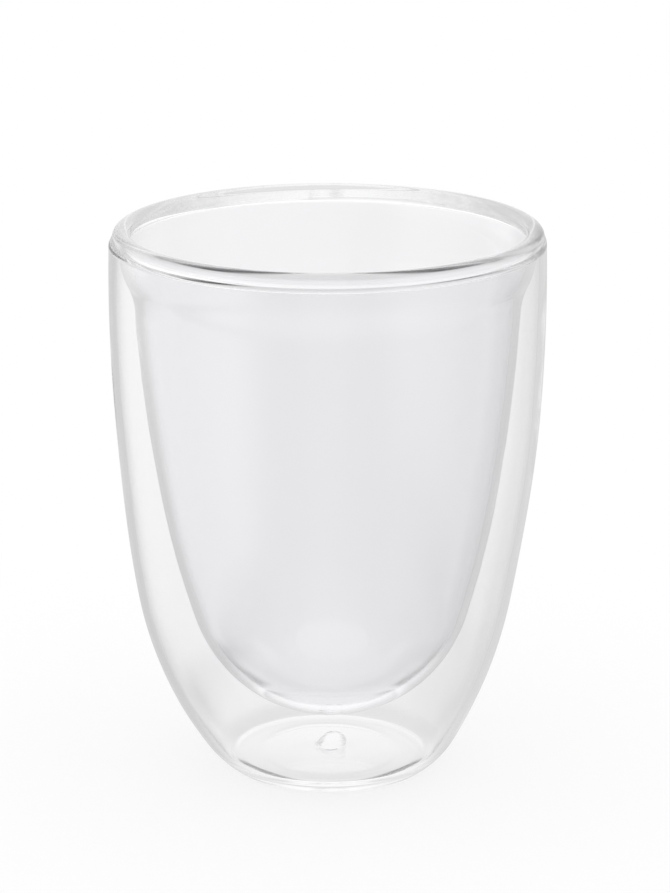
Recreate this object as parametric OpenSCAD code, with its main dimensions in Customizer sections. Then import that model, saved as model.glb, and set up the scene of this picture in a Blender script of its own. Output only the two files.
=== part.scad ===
// Double walled glass cup: a drinking bowl that hangs inside an outer shell, fused to it at the rim.
// The origin is the centre of the foot, on the surface that the cup stands on, and +Z is up.
// Slopes are degrees from upright, so 90 is level and 0 is a vertical wall.

/* [Cup] */
// Widest diameter of the cup
body_d = 90; // [82:1:105]
// Height of the cup, from the foot to the top of the rim
cup_h = 116; // [108:1:128]

/* [Outer shell] */
// Thickness of the shell's wall
shell_wall = 1.7; // [1.2:0.1:2.4]
// Radius of the long arc of the side
side_r = 364; // [320:1:420]
// Radius of the waist, the arc below the side
waist_r = 88; // [76:1:100]
// Radius of the heel, the arc above the foot
heel_r = 19; // [15:0.5:23]
// Radius of the foot's outer edge
foot_edge_r = 2; // [1:0.1:3]
// Slope where the side meets the waist
side_slope = 10.2; // [9:0.1:11.5]
// Slope where the waist meets the heel
waist_slope = 32.5; // [30:0.5:35]
// Slope where the heel meets the foot's edge
heel_slope = 54.5; // [52:0.5:58]

/* [Base] */
// Thickness of the base
base_t = 2; // [1.6:0.1:2.8]
// Radius of the inside corner between the base and the heel
corner_r = 7.4; // [4:0.1:9]
// Diameter of the shallow hollow under the base
punt_d = 30; // [24:1:34]
// Depth of the hollow under the base
punt_h = 0.8; // [0.6:0.1:2]
// Diameter of the level patch round the vent
seat_d = 7; // [6.4:0.1:9]
// Diameter of the vent hole at the centre of the base
vent_d = 4; // [3:0.1:5]

/* [Vent seal] */
// Diameter of the drop's head, inside the cup's walls
seal_head_d = 6.2; // [5.4:0.1:6.4]
// Height of the drop's head over the base
seal_head_h = 2.6; // [1.6:0.1:3.2]
// How far the drop stops short of the underside of the base
seal_recess = 0.3; // [0.1:0.1:0.8]

/* [Inner bowl] */
// Thickness of the bowl's wall
bowl_wall = 1.7; // [1.2:0.1:2.4]
// Air gap between the base and the underside of the bowl
bottom_gap = 9.5; // [6:0.5:14]
// Radius of the arc between the round bottom and the side of the bowl
bowl_waist_r = 180; // [160:1:200]
// Slope where the round bottom meets the waist of the bowl
bowl_bottom_slope = 17.8; // [17:0.1:19]
// Slope where the waist meets the side of the bowl
bowl_waist_slope = 10.3; // [10:0.1:10.8]
// Slope of the side of the bowl where its flare begins
bowl_side_slope = 3.6; // [3.2:0.1:4]
// Radius of the two arcs of the flare under the rim
flare_r = 16; // [13.5:0.5:18.5]
// Steepest slope of the flare under the rim
flare_slope = 25.5; // [23.5:0.5:27.5]

/* [Rim] */
// Height of the fused rim above the end of the air gap
rim_h = 4; // [3.6:0.1:5]
// Width of the air gap where it ends under the rim
rim_gap = 0.4; // [0.2:0.05:0.6]
// How far the round bead along the top stands proud of the bowl's inner face
bead_swell = 0.65; // [0.4:0.05:0.9]
// How far the bead is set in from the shell's outer face
bead_inset = 0.65; // [0.4:0.05:0.9]
// Distance from the top of the rim down to where the shell's shoulder begins
shoulder_drop = 3.5; // [3.2:0.1:3.9]
// Radius of the shoulder, the arc that turns the shell's outer face in towards the bead
shoulder_r = 1.3; // [1:0.1:1.6]
// Radius of the crease between the shoulder and the bead
crease_r = 0.25; // [0.15:0.05:0.4]

/* [Hidden] */
$fn = 96;
glass = [0.86, 0.91, 0.93, 0.4];
// Steps that each arc of an outline is drawn in
arc_steps = 14;

// Height at which both walls end and the rim begins
seam_z = cup_h - rim_h;
// Radius of the level foot, which is what the arcs above it leave
foot_r = body_d / 2
    - side_r * (1 - cos(side_slope))
    - waist_r * (cos(side_slope) - cos(waist_slope))
    - heel_r * (cos(waist_slope) - cos(heel_slope))
    - foot_edge_r * cos(heel_slope);
// Height of the widest ring of the cup
widest_z = side_r * sin(side_slope)
    + waist_r * (sin(waist_slope) - sin(side_slope))
    + heel_r * (sin(heel_slope) - sin(waist_slope))
    + foot_edge_r * (1 - sin(heel_slope));
// Slope at the seam of a side arc of a given radius, which is past the widest ring there
function seam_slope(radius) = -asin((seam_z - widest_z) / radius);
function seam_r(radius) = body_d / 2 - side_r + radius * cos(seam_slope(radius));

// Centre of the heel's arc
heel_cx = foot_r + (foot_edge_r - heel_r) * cos(heel_slope);
heel_cz = foot_edge_r + (heel_r - foot_edge_r) * sin(heel_slope);
// Centre of the inside corner, which touches the top of the base and the inside of the heel
corner_cz = base_t + corner_r;
corner_reach = heel_r - shell_wall - corner_r;
corner_slope = asin((heel_cz - corner_cz) / corner_reach);
corner_cx = heel_cx + corner_reach * cos(corner_slope);

// The hollow under the base, level at the vent and round from there down to the foot
seat_r = seat_d / 2;
punt_r = punt_d / 2;
vent_r = vent_d / 2;
punt_arc_r = (pow(punt_r - seat_r, 2) + pow(punt_h, 2)) / (2 * punt_h);
punt_cz = punt_h - punt_arc_r;
punt_low = asin(-punt_cz / punt_arc_r);
dome_low = asin((base_t - punt_cz) / (punt_arc_r + base_t));

// Shell's outer and inner radius at the seam
side_in_r = side_r - shell_wall;
shell_out_r = seam_r(side_r);
shell_in_r = seam_r(side_in_r);

// The bowl runs from its underside to the seam, and its two free radii follow from that
bowl_z = base_t + bottom_gap;
bowl_top_r = shell_in_r - rim_gap;
flare_dr = flare_r * (cos(bowl_side_slope) + 1 - 2 * cos(flare_slope));
flare_dz = flare_r * (2 * sin(flare_slope) - sin(bowl_side_slope));
bowl_dr = bowl_top_r - flare_dr - bowl_waist_r * (cos(bowl_waist_slope) - cos(bowl_bottom_slope));
bowl_dz = seam_z - bowl_z - flare_dz - bowl_waist_r * (sin(bowl_bottom_slope) - sin(bowl_waist_slope));
bottom_dr = cos(bowl_bottom_slope);
bottom_dz = 1 - sin(bowl_bottom_slope);
long_dr = cos(bowl_side_slope) - cos(bowl_waist_slope);
long_dz = sin(bowl_waist_slope) - sin(bowl_side_slope);
closure = bottom_dr * long_dz - bottom_dz * long_dr;
bowl_bottom_r = (bowl_dr * long_dz - bowl_dz * long_dr) / closure;
bowl_side_r = (bowl_dz * bottom_dr - bowl_dr * bottom_dz) / closure;

// Section of the rim: its foot spans both walls, and the bead along its top is round
rim_in_r = bowl_top_r - bowl_wall;
bead_r = (shell_out_r - bead_inset - rim_in_r + bead_swell) / 2;
bead_centre = [rim_in_r - bead_swell + bead_r, cup_h - bead_r];

// The hollow neck that leaves the bowl's inner face upright and runs smoothly into the bead
neck_drop = bead_centre.y - seam_z;
neck_r = (pow(bead_r - bead_swell, 2) + pow(neck_drop, 2) - pow(bead_r, 2)) / (2 * bead_swell);
neck_end = asin(neck_drop / (bead_r + neck_r));

// The side of the shell runs on above the seam, up to the shoulder
shoulder_slope = -asin((cup_h - shoulder_drop - widest_z) / side_r);
shoulder_centre = [body_d / 2 - side_r, widest_z]
    + (side_r - shoulder_r) * [cos(shoulder_slope), -sin(shoulder_slope)];

// The crease touches the shoulder and the bead from outside. Its centre lies at these directions
// from the centres of the two.
function direction(step) = atan2(step.y, step.x);
function corner(side, next, opposite) =
    acos((pow(side, 2) + pow(next, 2) - pow(opposite, 2)) / (2 * side * next));
to_bead = bead_centre - shoulder_centre;
shoulder_reach = shoulder_r + crease_r;
bead_reach = bead_r + crease_r;
shoulder_top = direction(to_bead) - corner(norm(to_bead), shoulder_reach, bead_reach);
bead_low = direction(-to_bead) + corner(norm(to_bead), bead_reach, shoulder_reach);

// Points of an arc about a centre, between two directions in degrees
function arc(centre, radius, from, to) =
    [for (i = [0 : arc_steps])
        let (a = from + (to - from) * i / arc_steps)
        centre + radius * [cos(a), sin(a)]];

function without_last(points) = [for (i = [0 : len(points) - 2]) points[i]];
function reversed(points) = [for (i = [len(points) - 1 : -1 : 0]) points[i]];

// Points of a run of tangent arcs that climbs from a point. Each leg is a radius, which is
// negative where the wall curves outwards, and the slope at the leg's upper end.
function climb(start, slope, legs, i = 0) =
    i == len(legs) ? [start] :
    let (
        radius = legs[i][0],
        centre = start - radius * [cos(slope), -sin(slope)],
        points = arc(centre, radius, -slope, -legs[i][1])
    )
    concat(without_last(points), climb(points[arc_steps], legs[i][1], legs, i + 1));

// The bowl's outline at a depth of inset below its outer surface
function bowl_outline(inset) = climb([0, bowl_z + inset], 90, [
    [bowl_bottom_r - inset, bowl_bottom_slope],
    [bowl_waist_r - inset, bowl_waist_slope],
    [bowl_side_r - inset, bowl_side_slope],
    [-flare_r - inset, flare_slope],
    [flare_r - inset, 0]
]);

// Outside of the shell, from the foot up to the seam
function shell_outside() = climb([foot_r, 0], 90, [
    [foot_edge_r, heel_slope],
    [heel_r, waist_slope],
    [waist_r, side_slope],
    [side_r, seam_slope(side_r)]
]);

// Inside of the shell, from the base up to the seam
function shell_inside() = climb([corner_cx, base_t], 90, [
    [corner_r, corner_slope],
    [heel_r - shell_wall, waist_slope],
    [waist_r - shell_wall, side_slope],
    [side_in_r, seam_slope(side_in_r)]
]);

// Outside of the rim, from the seam up to the crest of the bead
function rim_outside() = climb([shell_out_r, seam_z], seam_slope(side_r), [
    [side_r, shoulder_slope],
    [shoulder_r, -shoulder_top],
    [-crease_r, -bead_low],
    [bead_r, -90]
]);

// Inside of the rim, from the seam up to the crest, worked out with x counted inwards from the
// middle of the bead
function rim_inside() = [
    for (point = climb([bead_r - bead_swell, seam_z], 0, [[-neck_r, neck_end], [bead_r, -90]]))
    [bead_centre.x - point.x, point.y]
];

module outer_shell() {
    color(glass)
    rotate_extrude()
    polygon(concat(
        [[vent_r, punt_h]],
        arc([seat_r, punt_cz], punt_arc_r, 90, punt_low),
        shell_outside(),
        reversed(shell_inside()),
        reversed(arc([seat_r, punt_cz], punt_arc_r + base_t, 90, dome_low)),
        [[vent_r, punt_h + base_t]]
    ));
}

module inner_bowl() {
    color(glass)
    rotate_extrude()
    polygon(concat(bowl_outline(0), reversed(bowl_outline(bowl_wall))));
}

module rim_bead() {
    color(glass)
    rotate_extrude()
    difference() {
        polygon(concat(rim_outside(), reversed(without_last(rim_inside()))));
        translate([bowl_top_r + rim_gap / 2, seam_z]) circle(d = rim_gap);
    }
}

module vent_seal() {
    color(glass)
    rotate_extrude()
    polygon(concat(
        [[0, punt_h + seal_recess], [vent_r, punt_h + seal_recess], [vent_r, punt_h + base_t]],
        [for (i = [0 : arc_steps])
            let (a = 90 * i / arc_steps)
            [seal_head_d / 2 * cos(a), punt_h + base_t + seal_head_h * sin(a)]]
    ));
}

outer_shell();
inner_bowl();
rim_bead();
vent_seal();
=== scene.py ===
import math

import bmesh
import bpy
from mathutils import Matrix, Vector


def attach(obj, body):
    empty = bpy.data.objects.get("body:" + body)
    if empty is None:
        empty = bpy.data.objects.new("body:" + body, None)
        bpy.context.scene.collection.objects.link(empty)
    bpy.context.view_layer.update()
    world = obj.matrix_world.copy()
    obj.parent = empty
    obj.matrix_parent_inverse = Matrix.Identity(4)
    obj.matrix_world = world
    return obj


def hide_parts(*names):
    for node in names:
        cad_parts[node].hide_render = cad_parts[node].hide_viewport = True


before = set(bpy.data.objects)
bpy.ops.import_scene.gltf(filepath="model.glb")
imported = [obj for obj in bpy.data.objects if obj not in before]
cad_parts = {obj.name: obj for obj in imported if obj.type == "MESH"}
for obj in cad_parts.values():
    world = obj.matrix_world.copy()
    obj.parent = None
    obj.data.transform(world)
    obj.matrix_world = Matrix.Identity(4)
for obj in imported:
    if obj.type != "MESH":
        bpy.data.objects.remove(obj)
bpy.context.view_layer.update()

MM = 0.001

# Outline of the cup as the solids have it, in millimetres. Slopes are degrees from upright, so 90 is
# level and 0 is a vertical wall.
BODY_D = 90.0
CUP_H = 116.0

# Outer shell: arcs of the side, the waist, the heel and the foot's edge, and the slopes where they meet
SHELL_WALL = 1.7
SIDE_R = 364.0
SIDE_SLOPE = 10.2
WAIST_R = 88.0
WAIST_SLOPE = 32.5
HEEL_R = 19.0
HEEL_SLOPE = 54.5
FOOT_EDGE_R = 2.0

# Base: the corner inside it, the hollow under it, the level patch round the vent, and the vent hole
BASE_T = 2.0
CORNER_R = 7.4
PUNT_D = 30.0
PUNT_H = 0.8
SEAT_D = 7.0
VENT_D = 4.0

# Drop that seals the vent: its head over the base, and how far it stops short of the underside
SEAL_HEAD_D = 6.2
SEAL_HEAD_H = 2.6
SEAL_RECESS = 0.3

# Bowl: the gap under it, the arc of its waist, the slopes where bottom, waist, side and flare meet,
# and the two arcs of the flare under the rim with their steepest slope
BOWL_WALL = 1.7
BOTTOM_GAP = 9.5
BOWL_BOTTOM_SLOPE = 17.8
BOWL_WAIST_R = 180.0
BOWL_WAIST_SLOPE = 10.3
BOWL_SIDE_SLOPE = 3.6
FLARE_R = 16.0
FLARE_SLOPE = 25.5

# Rim: its height over the air gap, the gap's width there, how far the bead stands proud of the bowl
# and back from the shell, and the shoulder and the crease outside, under the bead
RIM_H = 4.0
RIM_GAP = 0.4
BEAD_SWELL = 0.65
BEAD_INSET = 0.65
SHOULDER_DROP = 3.5
SHOULDER_R = 1.3
CREASE_R = 0.25

# Unevenness of blown glass, in millimetres: how far the shell, its foot and the bowl stray to the
# right of the axis, at what height the shell strays most, and over what height each lean fades out
SHELL_LEAN = -0.6
SHELL_LEAN_Z = 36.0
SHELL_LEAN_REACH = 40.0
FOOT_LEAN = 0.45
FOOT_LEAN_REACH = 16.0
BOWL_LEAN = 0.7
# How far the rim's bead strays to the right and to the back, and the shoulder under it upwards at
# the right
BEAD_RIGHT = 0.15
BEAD_BACK = -0.5
SHOULDER_TILT = 0.25
# How far the top of the drop over the vent leans to the right
SEAL_LEAN = 1.2
# Ripples on the walls' faces on the air gap: their height, the length over which they fade out at
# each end, and for each its share, its number of waves round the cup, its turn in degrees for each
# millimetre of height, and its start in degrees
RIPPLE = 0.035
RIPPLE_FADE = 12.0
RIPPLE_WAVES = ((1, 2, 1.7, 0), (0.7, 3, -2.9, 80), (0.5, 5, 4.3, 200))

# Fineness of the meshes: steps round the axis, the longest chord, widest turn and fewest steps of an
# arc, the steps of each of the rim's arcs, and the turn of each step of the drop's head
SEGMENTS = 300
ARC_CHORD = 1.1
ARC_TURN = 4.0
ARC_STEPS = 3
RIM_STEPS = 24
SEAL_TURN = 6
# Edges that turn by fewer degrees are shaded smooth
SMOOTH_TURN = 25.0

# Glass: its tint and refractive index, and the scale, detail and depth of its fine bump
GLASS_TINT = (0.990, 0.988, 0.994, 1)
GLASS_IOR = 1.47
BUMP_SCALE = 70
BUMP_DETAIL = 2
BUMP_DEPTH = 0.03

# Zones of the studio, by how far a direction points to the right, to the back, up, or to either side.
# Each limit of a zone says where the zone begins and where it is full.
BACK_WALL = (("back", 0.1, 0.75), ("up", 0.8, 0.45))
LEFT_REFLECTOR = (("right", -0.42, -0.8), ("up", 0.05, -0.1))
CEILING = (("up", 0.8, 0.9),)
HORIZON = (("back", 0.84, 0.94), ("up", -0.2, 0))
TABLE = (("up", -0.5, -0.85),)
LEFT_STRIP = (("right", -0.12, -0.3), ("right", -0.75, -0.6))
HIGH_BACK = (("back", 0.25, 0.4), ("up", 0.5, 0.62))
TABLE_SIDES = (("up", -0.55, -0.65), ("up", -0.8, -0.66), ("side", 0.5, 0.62))
RIGHT_HALF = (("right", -0.1, 0.1),)

# Brightness of what the glass mirrors, where the backdrop seen past the cup is 1: the dim room, and
# what each lit zone adds to it
ROOM = 0.32
LIT_ZONES = (
    (BACK_WALL, 0.36),
    (LEFT_REFLECTOR, 0.38),
    (CEILING, 0.68),
    (HORIZON, 0.30),
    (TABLE, 0.45),
    (LEFT_STRIP, -0.06),
)
# Brightness high at the back, and of the table beside the cup at its left and at its right
HIGH_BACK_LIGHT = 1.0
TABLE_LEFT_LIGHT = 0.3
TABLE_RIGHT_LIGHT = 0.55

# Brightness of what shows straight through the glass: far down, from just under the horizon upwards,
# and far down at the sides, and how much brighter it is at the left, and dimmer at the right
FAR_DOWN = (("up", -0.27, -0.5),)
UPWARDS = (("up", -0.2, -0.08),)
LOW_SIDES = (("side", 0.08, 0.18), ("up", -0.46, -0.55))
LEFT_TO_RIGHT = (("right", -0.16, 0.16),)
FAR_DOWN_LIGHT = 0.8
UPWARDS_LIGHT = 1.12
LOW_SIDES_LIGHT = 0.02
SIDE_CHANGE = 0.03

# Brightness of light that the glass has guided: along the cup and sideways, and how many times the
# glass has mirrored light before it counts as guided
SIDEWAYS = (("side", 0.2, 0.35),)
GUIDED_LIGHT = 1.0
GUIDED_SIDE_LIGHT = 0.7
GUIDED_TIMES = 4

# The floor is a disc that holds the cup's faint shadow, full near the cup and gone at the disc's edge
FLOOR_R = 160.0
FLOOR_SIDES = 96
FLOOR_DROP = 0.02
SHADOW_FULL_R = FLOOR_R / 3
SHADOW = 0.16

# Camera of the photograph: the point that it looks at, a little to the right of the cup's axis, its
# distance from there, how many degrees it looks down, and its focal length in pixels of the photo
CAMERA_TARGET = (1.5, 0, 68.8)
CAMERA_DISTANCE = 700
CAMERA_PITCH = 16.25
FOCAL_PX = 3356.6
PHOTO_H = 893
SENSOR_H = 36
CLIP_START = 10

# Light is guided down the walls over hundreds of reflections, so the rim goes black with fewer
LIGHT_BOUNCES = 360


def cos(degrees):
    return math.cos(math.radians(degrees))


def sin(degrees):
    return math.sin(math.radians(degrees))


def arc(centre, radius, start, end, steps=0):
    """Points of an arc about a centre, between two directions in degrees. Where no number of steps is
    given, the arc's turn and length set it."""
    turn = abs(end - start)
    length = math.radians(turn) * abs(radius)
    steps = steps or max(ARC_STEPS, math.ceil(turn / ARC_TURN), math.ceil(length / ARC_CHORD))
    angles = [start + (end - start) * i / steps for i in range(steps + 1)]
    return [(centre[0] + radius * cos(a), centre[1] + radius * sin(a)) for a in angles]


def climb(start, slope, legs, steps=0):
    """Points of a run of tangent arcs that climbs from a point: each leg is a radius, which is
    negative where the wall curves outwards, and the slope at the leg's upper end."""
    points = [start]
    for radius, end in legs:
        x, z = points[-1]
        centre = (x - radius * cos(slope), z + radius * sin(slope))
        points += arc(centre, radius, -slope, -end, steps)[1:]
        slope = end
    return points


# Seam of the rim with both walls, radius of the level foot, and height of the widest ring
seam_z = CUP_H - RIM_H
foot_r = (
    BODY_D / 2
    - SIDE_R * (1 - cos(SIDE_SLOPE))
    - WAIST_R * (cos(SIDE_SLOPE) - cos(WAIST_SLOPE))
    - HEEL_R * (cos(WAIST_SLOPE) - cos(HEEL_SLOPE))
    - FOOT_EDGE_R * cos(HEEL_SLOPE)
)
widest_z = (
    SIDE_R * sin(SIDE_SLOPE)
    + WAIST_R * (sin(WAIST_SLOPE) - sin(SIDE_SLOPE))
    + HEEL_R * (sin(HEEL_SLOPE) - sin(WAIST_SLOPE))
    + FOOT_EDGE_R * (1 - sin(HEEL_SLOPE))
)


def seam_slope(radius):
    """Slope at the seam of a side arc of this radius, which is past the widest ring there."""
    return -math.degrees(math.asin((seam_z - widest_z) / radius))


def seam_r(radius):
    """Distance from the axis, at the seam, of a side arc of this radius."""
    return BODY_D / 2 - SIDE_R + radius * cos(seam_slope(radius))


side_in_r = SIDE_R - SHELL_WALL
shell_out_r = seam_r(SIDE_R)
bowl_top_r = seam_r(side_in_r) - RIM_GAP
bowl_z = BASE_T + BOTTOM_GAP
base_top = PUNT_H + BASE_T
seal_low = PUNT_H + SEAL_RECESS
vent_r = VENT_D / 2
head_r = SEAL_HEAD_D / 2


def bowl_radii():
    """Radii of the bowl's bottom and side, whose arcs together span the height and the width that the
    other arcs leave."""
    height = (
        seam_z
        - bowl_z
        - FLARE_R * (2 * sin(FLARE_SLOPE) - sin(BOWL_SIDE_SLOPE))
        - BOWL_WAIST_R * (sin(BOWL_BOTTOM_SLOPE) - sin(BOWL_WAIST_SLOPE))
    )
    width = (
        bowl_top_r
        - FLARE_R * (cos(BOWL_SIDE_SLOPE) + 1 - 2 * cos(FLARE_SLOPE))
        - BOWL_WAIST_R * (cos(BOWL_WAIST_SLOPE) - cos(BOWL_BOTTOM_SLOPE))
    )
    bottom_width = cos(BOWL_BOTTOM_SLOPE)
    bottom_height = 1 - sin(BOWL_BOTTOM_SLOPE)
    side_width = cos(BOWL_SIDE_SLOPE) - cos(BOWL_WAIST_SLOPE)
    side_height = sin(BOWL_WAIST_SLOPE) - sin(BOWL_SIDE_SLOPE)
    closure = bottom_width * side_height - bottom_height * side_width
    bottom_r = (width * side_height - height * side_width) / closure
    side_r = (height * bottom_width - width * bottom_height) / closure
    return bottom_r, side_r


def bowl_outline(inset):
    """The bowl's face on the air gap, or its inner face where inset is its thickness."""
    bottom_r, side_r = bowl_radii()
    return climb((0, bowl_z + inset), 90, [
        (bottom_r - inset, BOWL_BOTTOM_SLOPE),
        (BOWL_WAIST_R - inset, BOWL_WAIST_SLOPE),
        (side_r - inset, BOWL_SIDE_SLOPE),
        (-FLARE_R - inset, FLARE_SLOPE),
        (FLARE_R - inset, 0),
    ])


def shell_outside():
    return climb((foot_r, 0), 90, [
        (FOOT_EDGE_R, HEEL_SLOPE),
        (HEEL_R, WAIST_SLOPE),
        (WAIST_R, SIDE_SLOPE),
        (SIDE_R, seam_slope(SIDE_R)),
    ])


def shell_inside():
    heel_x = foot_r + (FOOT_EDGE_R - HEEL_R) * cos(HEEL_SLOPE)
    heel_z = FOOT_EDGE_R + (HEEL_R - FOOT_EDGE_R) * sin(HEEL_SLOPE)
    reach = HEEL_R - SHELL_WALL - CORNER_R
    corner_slope = math.degrees(math.asin((heel_z - BASE_T - CORNER_R) / reach))
    return climb((heel_x + reach * cos(corner_slope), BASE_T), 90, [
        (CORNER_R, corner_slope),
        (HEEL_R - SHELL_WALL, WAIST_SLOPE),
        (WAIST_R - SHELL_WALL, SIDE_SLOPE),
        (side_in_r, seam_slope(side_in_r)),
    ])


def base_arc(lift):
    """The round stretch of the hollow under the base, or of the base's top where lift is its thickness."""
    seat, punt = SEAT_D / 2, PUNT_D / 2
    radius = ((punt - seat) ** 2 + PUNT_H ** 2) / (2 * PUNT_H)
    centre_z = PUNT_H - radius
    low = math.degrees(math.asin((lift - centre_z) / (radius + lift)))
    return arc((seat, centre_z), radius + lift, 90, low)


def swell(value, middle, reach):
    """1 at the middle, falling smoothly to 0 at a distance of reach on either side."""
    return 0.5 + 0.5 * cos(180 * min(1, abs(value - middle) / reach))


def shell_lean(z):
    side = SHELL_LEAN * swell(z, SHELL_LEAN_Z, SHELL_LEAN_REACH)
    return side + FOOT_LEAN * swell(z, 0, FOOT_LEAN_REACH)


def bowl_lean(z):
    return BOWL_LEAN * swell(z, bowl_z, seam_z - bowl_z)


def rim_lean(z):
    """The rim's unevenness is in its outline instead."""
    return 0


def seal_lean(z):
    """The drop stands on the shell and leans more and more towards its top."""
    return shell_lean(z) + SEAL_LEAN * math.sqrt(max(0, z - base_top) / SEAL_HEAD_H)


def ripple(angle, z):
    """Rise of a face on the air gap at a direction and height."""
    wave = sum(
        share * sin(around * angle + turn * z + start) for share, around, turn, start in RIPPLE_WAVES
    )
    fade = min(1, max(0, seam_z - z) / RIPPLE_FADE) * min(1, max(0, z - bowl_z) / RIPPLE_FADE)
    return RIPPLE * wave * fade


def lathe_ring(bm, points, lean, uneven):
    """Vertices of one ring, from its radius and height at each direction. A ring of no radius is one
    vertex on the axis."""
    ring = []
    for i, (radius, z) in enumerate(points if points[0][0] > 0 else points[:1]):
        angle = 360 * i / SEGMENTS
        if uneven:
            radius += ripple(angle, z)
        x = lean(z) + radius * cos(angle)
        y = radius * sin(angle)
        ring.append(bm.verts.new((x * MM, y * MM, z * MM)))
    return ring


def lathe(name, outline_at, lean, rippled, fused_legs):
    """A closed solid round the axis, from its outline at each direction. Lean says how far it strays to
    the right at a height, the points whose numbers are in rippled are uneven, and the legs in
    fused_legs lie on the glass of another piece, where the two are melted together."""
    materials = (glass, melted)
    mesh = bpy.data.meshes.new(name)
    bm = bmesh.new()
    outlines = [outline_at(360 * i / SEGMENTS) for i in range(SEGMENTS)]
    rings = [
        lathe_ring(bm, points, lean, number in rippled) for number, points in enumerate(zip(*outlines))
    ]
    legs = len(rings) if len(rings[0]) > 1 else len(rings) - 1
    for leg in range(legs):
        low, high = rings[leg], rings[(leg + 1) % len(rings)]
        for i in range(SEGMENTS):
            j = (i + 1) % SEGMENTS
            corners = [low[i % len(low)], low[j % len(low)]]
            corners += [high[j % len(high)], high[i % len(high)]]
            face = bm.faces.new(list(dict.fromkeys(corners)))
            face.smooth = True
            face.material_index = materials.index(melted if leg in fused_legs else glass)
    bmesh.ops.recalc_face_normals(bm, faces=bm.faces)
    for edge in bm.edges:
        edge.smooth = edge.calc_face_angle() < math.radians(SMOOTH_TURN)
    bm.to_mesh(mesh)
    bm.free()
    for material in materials:
        mesh.materials.append(material)
    piece = bpy.data.objects.new(name, mesh)
    bpy.context.scene.collection.objects.link(piece)
    return piece


def finish_piece(piece, node):
    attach(piece, "root")
    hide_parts(node)


def make_shell():
    outside, inside = shell_outside(), shell_inside()
    points = [(vent_r, PUNT_H)] + base_arc(0) + outside
    top_leg = len(points) - 1
    points += inside[::-1] + base_arc(BASE_T)[::-1]
    head_leg = len(points)
    points += [(head_r, base_top), (vent_r, base_top), (vent_r, seal_low)]
    inner_face = range(top_leg + 1, top_leg + 1 + len(inside))

    # The rim is melted onto the top, and the drop onto the base round the vent and into the vent
    fused = {top_leg, head_leg, head_leg + 1}
    shell = lathe("shell", lambda angle: points, shell_lean, inner_face, fused)
    finish_piece(shell, "outer_shell")


def make_bowl():
    outside, inside = bowl_outline(0), bowl_outline(BOWL_WALL)
    top_leg = len(outside) - 1
    points = outside + inside[::-1]
    bowl = lathe("bowl", lambda angle: points, bowl_lean, range(len(outside)), {top_leg})
    finish_piece(bowl, "inner_bowl")


def rim_groove():
    """The round end of the air gap, from the bowl's side to the shell's."""
    return arc((bowl_top_r + RIM_GAP / 2, seam_z), RIM_GAP / 2, 180, 0)


def corner(side, following, opposite):
    """Angle of a triangle between two sides, from all three lengths."""
    return math.degrees(math.acos((side ** 2 + following ** 2 - opposite ** 2) / (2 * side * following)))


def crease_slopes(shoulder, bead, bead_r):
    """Slopes where the crease meets the shoulder and the bead, from the centres of their arcs."""
    to_bead = bead - shoulder
    facing = math.degrees(math.atan2(to_bead.y, to_bead.x))
    shoulder_reach, bead_reach = SHOULDER_R + CREASE_R, bead_r + CREASE_R
    shoulder_top = facing - corner(to_bead.length, shoulder_reach, bead_reach)
    bead_low = facing - 180 + corner(to_bead.length, bead_reach, shoulder_reach)
    return -shoulder_top, -bead_low


def rim_outline(shift, tilt):
    """The rim's outline: over the end of the air gap, up the shoulder and the crease outside, over the
    bead and down the neck inside. The bead strays outwards by shift and the shoulder upwards by tilt."""
    inner_r = bowl_top_r - BOWL_WALL
    bead_r = (shell_out_r - BEAD_INSET - inner_r + BEAD_SWELL) / 2
    proud = BEAD_SWELL - shift
    bead = Vector((inner_r - proud + bead_r, CUP_H - bead_r))
    neck_drop = bead.y - seam_z
    neck_r = ((bead_r - proud) ** 2 + neck_drop ** 2 - bead_r ** 2) / (2 * proud)
    neck_end = math.degrees(math.asin(neck_drop / (bead_r + neck_r)))

    shoulder_slope = -math.degrees(math.asin((CUP_H - SHOULDER_DROP + tilt - widest_z) / SIDE_R))
    reach = SIDE_R - SHOULDER_R
    shoulder_x = BODY_D / 2 - SIDE_R + reach * cos(shoulder_slope)
    shoulder_z = widest_z - reach * sin(shoulder_slope)
    crease_low, crease_high = crease_slopes(Vector((shoulder_x, shoulder_z)), bead, bead_r)

    outer = climb((shell_out_r, seam_z), seam_slope(SIDE_R), [
        (SIDE_R, shoulder_slope),
        (SHOULDER_R, crease_low),
        (-CREASE_R, crease_high),
        (bead_r, -90),
    ], RIM_STEPS)
    # Drawn as if it faced outwards, from the bead's middle, and then turned round and inwards
    inner = climb((bead_r - proud, seam_z), 0, [(-neck_r, neck_end), (bead_r, -90)], RIM_STEPS)
    return rim_groove() + outer + [(bead.x - x, z) for x, z in inner[-2::-1]]


def make_rim():
    def outline_at(angle):
        shift = BEAD_RIGHT * cos(angle) + BEAD_BACK * sin(angle)
        return rim_outline(shift, SHOULDER_TILT * cos(angle))

    # The rim is melted onto the shell at the groove's outer end, and onto the bowl at its inner end
    fused = {len(rim_groove()) - 1, len(outline_at(0)) - 1}
    rim = lathe("rim", outline_at, rim_lean, (), fused)
    finish_piece(rim, "rim_bead")


def make_seal():
    head = [(head_r * cos(a), base_top + SEAL_HEAD_H * sin(a)) for a in range(0, 90, SEAL_TURN)]
    points = [(0, seal_low), (vent_r, seal_low), (vent_r, base_top)] + head
    points.append((0, base_top + SEAL_HEAD_H))

    # The drop is melted into the vent and onto the base round it
    fused = {1, 2}
    seal = lathe("seal", lambda angle: points, seal_lean, (), fused)
    finish_piece(seal, "vent_seal")


def math_step(tree, operation, *values):
    """One step of arithmetic on node outputs or plain values."""
    node = tree.nodes.new("ShaderNodeMath")
    node.operation = operation
    for socket, value in zip(node.inputs, values):
        if isinstance(value, (int, float)):
            socket.default_value = value
        else:
            tree.links.new(value, socket)
    return node.outputs[0]


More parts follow.
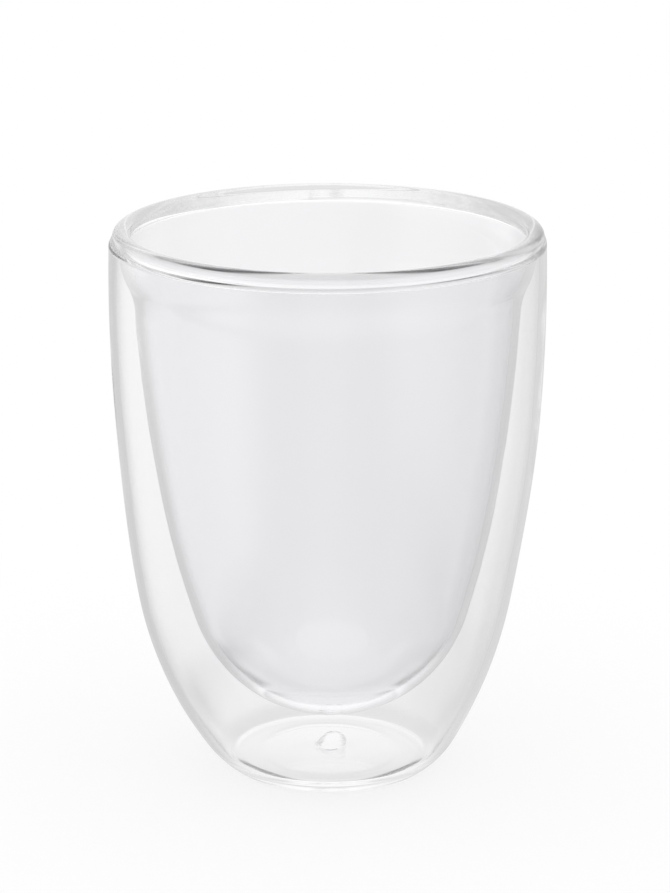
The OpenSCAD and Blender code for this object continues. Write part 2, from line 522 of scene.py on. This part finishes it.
def ramp(tree, value, start, end):
    """Smooth step from 0 at start to 1 at end."""
    node = tree.nodes.new("ShaderNodeMapRange")
    node.interpolation_type = "SMOOTHSTEP"
    tree.links.new(value, node.inputs["Value"])
    node.inputs["From Min"].default_value = min(start, end)
    node.inputs["From Max"].default_value = max(start, end)
    node.inputs["To Min"].default_value = 0 if start < end else 1
    node.inputs["To Max"].default_value = 1 if start < end else 0
    return node.outputs["Result"]


def blend(tree, share, first, second):
    """The first value where share is 0 and the second where it is 1."""
    node = tree.nodes.new("ShaderNodeMix")
    for name, value in (("Factor", share), ("A", first), ("B", second)):
        if isinstance(value, (int, float)):
            node.inputs[name].default_value = value
        else:
            tree.links.new(value, node.inputs[name])
    return node.outputs["Result"]


def mix_shaders(tree, share, first, second):
    """The first shader where share is 0 and the second where it is 1."""
    node = tree.nodes.new("ShaderNodeMixShader")
    tree.links.new(share, node.inputs["Fac"])
    tree.links.new(first.outputs[0], node.inputs[1])
    tree.links.new(second.outputs[0], node.inputs[2])
    return node


def light_path(tree):
    return tree.nodes.new("ShaderNodeLightPath").outputs


def new_material(name):
    material = bpy.data.materials.new(name)
    material.use_nodes = True
    return material


def clear_glass():
    """Clear glass with a fine, shallow bump, as fire polished glass has."""
    material = new_material("clear_glass")
    tree = material.node_tree
    shader = tree.nodes["Principled BSDF"]
    shader.inputs["Base Color"].default_value = GLASS_TINT
    shader.inputs["Roughness"].default_value = 0
    shader.inputs["IOR"].default_value = GLASS_IOR
    shader.inputs["Transmission Weight"].default_value = 1
    place = tree.nodes.new("ShaderNodeTexCoord")
    waves = tree.nodes.new("ShaderNodeTexNoise")
    waves.inputs["Scale"].default_value = BUMP_SCALE
    waves.inputs["Detail"].default_value = BUMP_DETAIL
    tree.links.new(place.outputs["Object"], waves.inputs["Vector"])
    bump = tree.nodes.new("ShaderNodeBump")
    bump.inputs["Distance"].default_value = BUMP_DEPTH * MM
    tree.links.new(waves.outputs["Fac"], bump.inputs["Height"])
    tree.links.new(bump.outputs["Normal"], shader.inputs["Normal"])
    return material


def melted_joint():
    """Faces where two pieces are melted together: there is no surface between them to be seen."""
    material = new_material("melted_joint")
    material.node_tree.nodes["Principled BSDF"].inputs["Alpha"].default_value = 0
    return material


def floor_white():
    """White paper that keeps a share of the cup's shadow. Glass shows and mirrors the studio instead,
    so that no edge of the floor is seen in it."""
    material = new_material("floor_white")
    tree = material.node_tree
    paper = tree.nodes["Principled BSDF"]
    paper.inputs["Base Color"].default_value = (1, 1, 1, 1)
    paper.inputs["Roughness"].default_value = 1
    paper.inputs["Specular IOR Level"].default_value = 0
    white = tree.nodes.new("ShaderNodeEmission")
    distance = tree.nodes.new("ShaderNodeVectorMath")
    distance.operation = "LENGTH"
    place = tree.nodes.new("ShaderNodeTexCoord")
    tree.links.new(place.outputs["Object"], distance.inputs[0])
    fade = ramp(tree, distance.outputs["Value"], FLOOR_R * MM, SHADOW_FULL_R * MM)
    shaded = mix_shaders(tree, math_step(tree, "MULTIPLY", fade, SHADOW), white, paper)
    path = light_path(tree)
    in_glass = math_step(tree, "MAXIMUM", path["Is Transmission Ray"], path["Is Glossy Ray"])
    surface = mix_shaders(tree, in_glass, shaded, tree.nodes.new("ShaderNodeBsdfTransparent"))
    tree.links.new(surface.outputs[0], tree.nodes["Material Output"].inputs["Surface"])
    return material


def direction_parts(tree):
    """How far the direction of a ray into the studio points to the right (+X), to the back (+Y) and
    up (+Z), each from -1 to 1, and how far to either side."""
    direction = tree.nodes.new("ShaderNodeTexCoord").outputs["Generated"]
    unit = tree.nodes.new("ShaderNodeVectorMath")
    unit.operation = "NORMALIZE"
    tree.links.new(direction, unit.inputs[0])
    split = tree.nodes.new("ShaderNodeSeparateXYZ")
    tree.links.new(unit.outputs[0], split.inputs[0])
    right, back, up = split.outputs
    return {"right": right, "back": back, "up": up, "side": math_step(tree, "ABSOLUTE", right)}


def zone(tree, parts, limits):
    """1 in a zone of the studio, falling smoothly to 0 at its limits."""
    share = 1
    for part, start, full in limits:
        share = math_step(tree, "MULTIPLY", share, ramp(tree, parts[part], start, full))
    return share


def mirrored_times(tree, path, times):
    """1 for light that glass has mirrored at least so many times on its way, and 0 for other light."""
    return math_step(tree, "GREATER_THAN", path["Glossy Depth"], times - 0.5)


def studio_light(tree, parts):
    """Brightness of the studio that the glass mirrors: a dim room with a lit back wall and horizon, a
    reflector low at the left with a dim strip beside it, a bright table that is dark beside the cup,
    and soft light overhead and high at the back."""
    light = ROOM
    for place, added in LIT_ZONES:
        light = math_step(tree, "MULTIPLY_ADD", zone(tree, parts, place), added, light)
    light = blend(tree, zone(tree, parts, HIGH_BACK), light, HIGH_BACK_LIGHT)
    beside = blend(tree, zone(tree, parts, RIGHT_HALF), TABLE_LEFT_LIGHT, TABLE_RIGHT_LIGHT)
    return blend(tree, zone(tree, parts, TABLE_SIDES), light, beside)


def straight_light(tree, parts):
    """Brightness of the backdrop that shows straight through the glass."""
    light = blend(tree, zone(tree, parts, FAR_DOWN), 1, FAR_DOWN_LIGHT)
    light = blend(tree, zone(tree, parts, UPWARDS), light, UPWARDS_LIGHT)
    light = blend(tree, zone(tree, parts, LOW_SIDES), light, LOW_SIDES_LIGHT)
    change = blend(tree, zone(tree, parts, LEFT_TO_RIGHT), 1 + SIDE_CHANGE, 1 - SIDE_CHANGE)
    return math_step(tree, "MULTIPLY", light, change)


def guided_light(tree, parts):
    """Brightness of light that the glass has guided over many reflections."""
    return blend(tree, zone(tree, parts, SIDEWAYS), GUIDED_LIGHT, GUIDED_SIDE_LIGHT)


def make_world():
    world = bpy.data.worlds.new("studio")
    bpy.context.scene.world = world
    world.use_nodes = True
    tree = world.node_tree
    parts = direction_parts(tree)
    path = light_path(tree)
    seen = blend(tree, path["Is Transmission Ray"], 1, straight_light(tree, parts))
    guided = mirrored_times(tree, path, GUIDED_TIMES)
    mirrored = blend(tree, guided, studio_light(tree, parts), guided_light(tree, parts))
    brightness = blend(tree, mirrored_times(tree, path, 1), seen, mirrored)
    tree.links.new(brightness, tree.nodes["Background"].inputs["Color"])


def make_floor():
    bpy.ops.mesh.primitive_circle_add(
        vertices=FLOOR_SIDES, radius=FLOOR_R * MM, fill_type="NGON", location=(0, 0, -FLOOR_DROP * MM)
    )
    floor = bpy.context.object
    floor.name = "floor"
    floor.data.materials.append(floor_white())


def make_camera():
    data = bpy.data.cameras.new("camera")
    camera = bpy.data.objects.new("camera", data)
    bpy.context.scene.collection.objects.link(camera)
    to_camera = Vector((0, -cos(CAMERA_PITCH), sin(CAMERA_PITCH)))
    camera.location = Vector(CAMERA_TARGET) * MM + CAMERA_DISTANCE * MM * to_camera
    camera.rotation_euler = (math.radians(90 - CAMERA_PITCH), 0, 0)
    data.sensor_fit = "VERTICAL"
    data.sensor_height = SENSOR_H
    data.lens = FOCAL_PX * SENSOR_H / PHOTO_H
    data.clip_start = CLIP_START * MM
    bpy.context.scene.camera = camera


def set_light_paths():
    cycles = bpy.context.scene.cycles
    cycles.max_bounces = LIGHT_BOUNCES
    cycles.transmission_bounces = LIGHT_BOUNCES
    cycles.glossy_bounces = LIGHT_BOUNCES
    cycles.transparent_max_bounces = LIGHT_BOUNCES


glass = clear_glass()
melted = melted_joint()

make_shell()
make_bowl()
make_rim()
make_seal()
make_world()
make_floor()
make_camera()
set_light_paths()
bpy.context.scene.view_settings.view_transform = "Standard"
